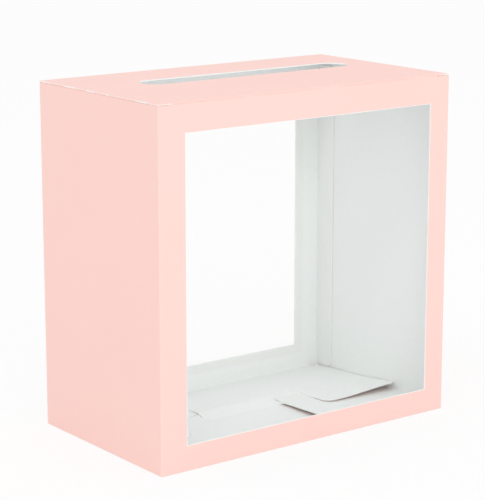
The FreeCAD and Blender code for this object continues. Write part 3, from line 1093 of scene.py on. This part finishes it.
@dataclass
class LockBottom:
    """Four bottom flaps that lock together, and the inner ply round their folds."""

    board: BoardFinish
    flat_flaps: Sequence[str] = ("bottom_left_flap", "bottom_front_flap")
    wall: float = 0.8 * MM
    strip: float = 4 * MM
    back_slope: float = 0.0577
    side_slope: float = 0.0132
    side_height: float = 0.9 * MM
    # right ear of the back flap, across from the middle and along from the back wall
    dip: float = 1.2 * MM
    dip_start: Span = (10 * MM, 34 * MM)
    dip_notch: Span = (36 * MM, 61 * MM)
    dip_fade: Span = (61 * MM, 120 * MM)
    dip_along: Span = (40 * MM, 70 * MM)
    lift: float = 1.7 * MM
    lift_across: Span = (75 * MM, 122 * MM)
    lift_along: Span = (45 * MM, 93 * MM)
    # left ear of the back flap, which comes down to just above the side flap
    drop: float = 4 * MM
    drop_across: Span = (12 * MM, 50 * MM)
    drop_gap: float = 0.05 * MM
    side_crease: float = 126.1 * MM
    # free edge of the right side flap, from where it is held to where it stands up most
    spring: float = 1.9 * MM
    spring_along: Span = (-38 * MM, 12 * MM)
    # inner ply at the walls' feet
    ply_gap: float = 0.02 * MM
    fold_radius: float = 1.4 * MM
    fold_straight: float = 2.1 * MM
    fold_reach: float = 3.6 * MM
    facets: int = 8
    corner_gap: float = 8.5 * MM
    end_gap: float = 0.3 * MM

    def build(self) -> None:
        """Dress the flat flaps, model the bent ones and the folds."""
        material = self.board.material(Printed.BOTTOM)
        for node in self.flat_flaps:
            dress(node, material)
        for side, pushes in (("back", self._back_pushes()), ("right", self._right_pushes())):
            node = f"bottom_{side}_flap"
            ReshapedBoard(node, f"{node}_bent", "box", material, self._strips(node), pushes).build()
        feet = (
            Foot("back", 1, 1.0, slope=self.back_slope),
            Foot("front", 1, -1.0),
            Foot("left", 0, -1.0, self.side_height, self.side_slope),
            Foot("right", 0, 1.0, self.side_height, self.side_slope),
        )
        for foot in feet:
            self._fold(foot).build()

    def _strips(self, node: str) -> list[tuple[int, float]]:
        """Places that cut a flap into strips along X and along Y.

        Args:
            node: The flap.

        Returns:
            The axis and the place of each cut.
        """
        low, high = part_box(node)
        cuts = []
        for axis in (0, 1):
            count = int((high[axis] - low[axis]) / self.strip)
            cuts += [(axis, low[axis] + number * self.strip) for number in range(1, count + 1)]
        return cuts

    def _back_pushes(self) -> Sequence[Push]:
        """Back flap: its left ear lies on the side flap, its right ear only with the inner corner.

        Returns:
            The dip and the lift of the right ear, and the drop of the left one.
        """
        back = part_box("bottom_back_flap")[1].y
        side_top = self.side_height + self.wall + self.drop_gap

        def dip_across(across: float) -> float:
            """Share of the dip from the flap's middle to its right side."""
            inner = (rise(across, *self.dip_start) + ramp(across, *self.dip_notch)) / 2
            return inner * (1.0 - ramp(across, *self.dip_fade))

        def dipped(point: Vector) -> float:
            """Share of the dip, which is deepest at the right ear's inner corner."""
            return dip_across(point.x) * rise(back - point.y, *self.dip_along)

        def lifted(point: Vector) -> float:
            """Share of the lift, which is highest at the right ear's outer corner."""
            return rise(point.x, *self.lift_across) * rise(back - point.y, *self.lift_along)

        def dropped(point: Vector) -> float:
            """Share of the drop, which takes the left ear down to the side flap.

            Args:
                point: Point of the flap.

            Returns:
                The share, which is 0 where the flap already lies low enough.
            """
            rest = side_top + self.side_slope * (self.side_crease + point.x)
            clear = self.back_slope * (back - point.y) - rest
            return rise(-point.x, *self.drop_across) * ramp(clear, 0.0, self.drop)

        return [
            Push("pressed", "Z", -self.dip, dipped),
            Push("lifted", "Z", self.lift, lifted),
            Push("flat", "Z", -self.drop, dropped),
        ]

    def _right_pushes(self) -> Sequence[Push]:
        """Right side flap, held down at the back and sprung up at the front of its free edge.

        Returns:
            The one push.
        """
        low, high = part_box("bottom_right_flap")

        def sprung(point: Vector) -> float:
            """Share of the spring, which is highest at the front of the free edge."""
            return (1.0 - ramp(point.x, low.x, high.x)) * (1.0 - ramp(point.y, *self.spring_along))

        return [Push("sprung", "Z", self.spring, sprung)]

    def _fold(self, foot: Foot) -> FoldSkin:
        """Inner ply along the foot of one wall.

        Args:
            foot: The wall's foot.

        Returns:
            The ply.
        """
        along_y = foot.axis == 0
        low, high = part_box(f"bottom_{foot.side}_flap")
        start, end = (low.y, high.y) if along_y else (low.x + self.corner_gap, high.x - self.corner_gap)
        face = CAD_BOX[1 if foot.outward > 0 else 0][foot.axis]
        section = self._fold_section(abs(face) - self.wall - self.ply_gap, foot)
        sign = -foot.outward if along_y else foot.outward
        return FoldSkin(
            name=f"bottom_{foot.side}_fold",
            bodies=("box",),
            section=[(sign * deep, up) for deep, up in section],
            half_length=(end - start) / 2 - self.end_gap,
            middle=(start + end) / 2,
            printed=False,
            board=self.board,
            along_y=along_y,
        )

    def _fold_section(self, wall: float, foot: Foot) -> list[Span]:
        """Section of an inner ply from a wall down onto its flap.

        Args:
            wall: Distance of the ply on the wall from the box's middle.
            foot: The wall's foot.

        Returns:
            Points as distance from the middle and height.
        """
        floor = foot.height + self.wall + self.ply_gap
        section = [(wall, floor + self.fold_reach), (wall, floor + self.fold_straight)]
        for number in range(self.facets + 1):
            turn = math.radians(90.0) * number / self.facets
            across = self.fold_radius * (1.0 - math.cos(turn))
            height = self.fold_radius * (1.0 - math.sin(turn))
            section.append((wall - across, floor + height + foot.slope * across))
        section.append((wall - self.fold_reach, floor + foot.slope * self.fold_reach))
        return section


@dataclass(frozen=True)
class Lamp:
    """Square soft lamp that points at the middle of the box."""

    name: str
    place: tuple[float, float, float]
    size: float
    power: float


@dataclass
class Studio:
    """White floor, soft light and the camera at the photograph's angle."""

    azimuth: float = -37.056
    elevation: float = 12.821
    roll: float = 0.009
    focal_pixels: float = 1887.13
    frame_pixels: float = 500.0
    aim: tuple[float, float, float] = (3.597 * MM, 0.215 * MM, -1364.988 * MM)
    sensor: float = 36.0
    clip: Span = (0.05, 60.0)
    sky: float = 0.92
    floor_size: float = 16.0
    floor_gap: float = 0.1 * MM
    floor_colour: Colour = srgb(250, 250, 250)
    shadow_share: float = 0.22
    lamps: Sequence[Lamp] = (
        Lamp("key", (-1.41, -1.17, 2.5), 0.5, 4.0),
        Lamp("front", (-0.7, -2.2, 1.1), 1.4, 9.0),
    )

    def build(self) -> None:
        """Set up all that isn't the box."""
        bpy.context.scene.view_settings.view_transform = "Standard"
        self._camera()
        self._floor()
        self._sky()
        for lamp in self.lamps:
            self._light(lamp)

    def _camera(self) -> None:
        """Camera with no shift, placed by the angles fitted to the box's corners."""
        turn, tilt = math.radians(self.azimuth), math.radians(self.elevation)
        back = Vector((math.sin(turn) * math.cos(tilt), -math.cos(turn) * math.cos(tilt), math.sin(tilt)))
        right = Vector((math.cos(turn), math.sin(turn), 0.0))
        level = Matrix((right, back.cross(right), back))
        axes = Matrix.Rotation(math.radians(self.roll), 3, "Z") @ level
        centre = (CAD_BOX[0] + CAD_BOX[1]) / 2
        data = bpy.data.cameras.new("camera")
        data.sensor_width = self.sensor
        data.lens = self.focal_pixels * self.sensor / self.frame_pixels
        data.clip_start, data.clip_end = self.clip
        camera = bpy.data.objects.new("camera", data)
        bpy.context.scene.collection.objects.link(camera)
        camera.matrix_world = Matrix.Translation(centre - axes.transposed() @ Vector(self.aim))
        camera.matrix_world = camera.matrix_world @ axes.transposed().to_4x4()
        bpy.context.scene.camera = camera

    @staticmethod
    def _seen(graph: ShaderGraph) -> Wire:
        """One for a ray that shows a surface directly, in gloss or through a clear one.

        Args:
            graph: Graph that it is added to.

        Returns:
            The value, 0 or 1.
        """
        rays = [
            graph.node("ShaderNodeLightPath", output=name)
            for name in ("Is Camera Ray", "Is Glossy Ray", "Is Transmission Ray")
        ]
        return rays[0] | rays[1] | rays[2]

    def _floor(self) -> None:
        """Pale floor that looks white and keeps a soft shadow."""
        Bench.clear()
        bpy.ops.mesh.primitive_plane_add(size=self.floor_size, location=(0.0, 0.0, -self.floor_gap))
        floor = bpy.context.object
        floor.name = "floor"
        Bench.settle(floor)
        graph, material = ShaderGraph.of_material("floor")
        diffuse = graph.node("ShaderNodeBsdfDiffuse", None, {"Color": self.floor_colour})
        white = graph.node("ShaderNodeEmission", None, {"Color": WHITE, "Strength": 1.0})
        share = self._seen(graph) * (1.0 - self.shadow_share)
        graph.finish(graph.node("ShaderNodeMixShader", None, {0: share, 1: diffuse, 2: white}))
        floor.data.materials.append(material)

    def _sky(self) -> None:
        """Even light from all round, and white where the background is seen."""
        world = bpy.data.worlds.new("studio")
        world.use_nodes = True
        bpy.context.scene.world = world
        graph = ShaderGraph(world.node_tree)
        light = graph.node("ShaderNodeBackground", None, {"Color": WHITE, "Strength": self.sky})
        white = graph.node("ShaderNodeBackground", None, {"Color": WHITE, "Strength": 1.0})
        mixed = graph.node("ShaderNodeMixShader", None, {0: self._seen(graph), 1: light, 2: white})
        graph.finish(mixed, "ShaderNodeOutputWorld")

    @staticmethod
    def _light(lamp: Lamp) -> None:
        """Put up one lamp.

        Args:
            lamp: The lamp.
        """
        data = bpy.data.lights.new(lamp.name, "AREA")
        data.size = lamp.size
        data.energy = lamp.power
        light = bpy.data.objects.new(lamp.name, data)
        bpy.context.scene.collection.objects.link(light)
        light.location = lamp.place
        aim = (CAD_BOX[0] + CAD_BOX[1]) / 2 - Vector(lamp.place)
        light.rotation_euler = aim.to_track_quat("-Z", "Y").to_euler()


def dress(node: str, material: bpy.types.Material) -> None:
    """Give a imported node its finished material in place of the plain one.

    Args:
        node: The node.
        material: Its finished material.
    """
    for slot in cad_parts[node].material_slots:
        slot.material = material
    log.info("node %s: %s", node, material.name)


def main() -> None:
    """Build the sub-assemblies in order, then the studio."""
    logging.basicConfig(level=logging.INFO, format="%(name)s %(message)s")
    board = BoardFinish()
    WallTube(board, GlueFinish()).build()
    for node in ("front_window_film", "back_window_film"):
        WindowFilm(node, FilmFinish()).build()
    SlottedLid(board).build()
    DustFlaps(board).build()
    LockBottom(board).build()
    Studio().build()


if __name__ == "__main__":
    main()
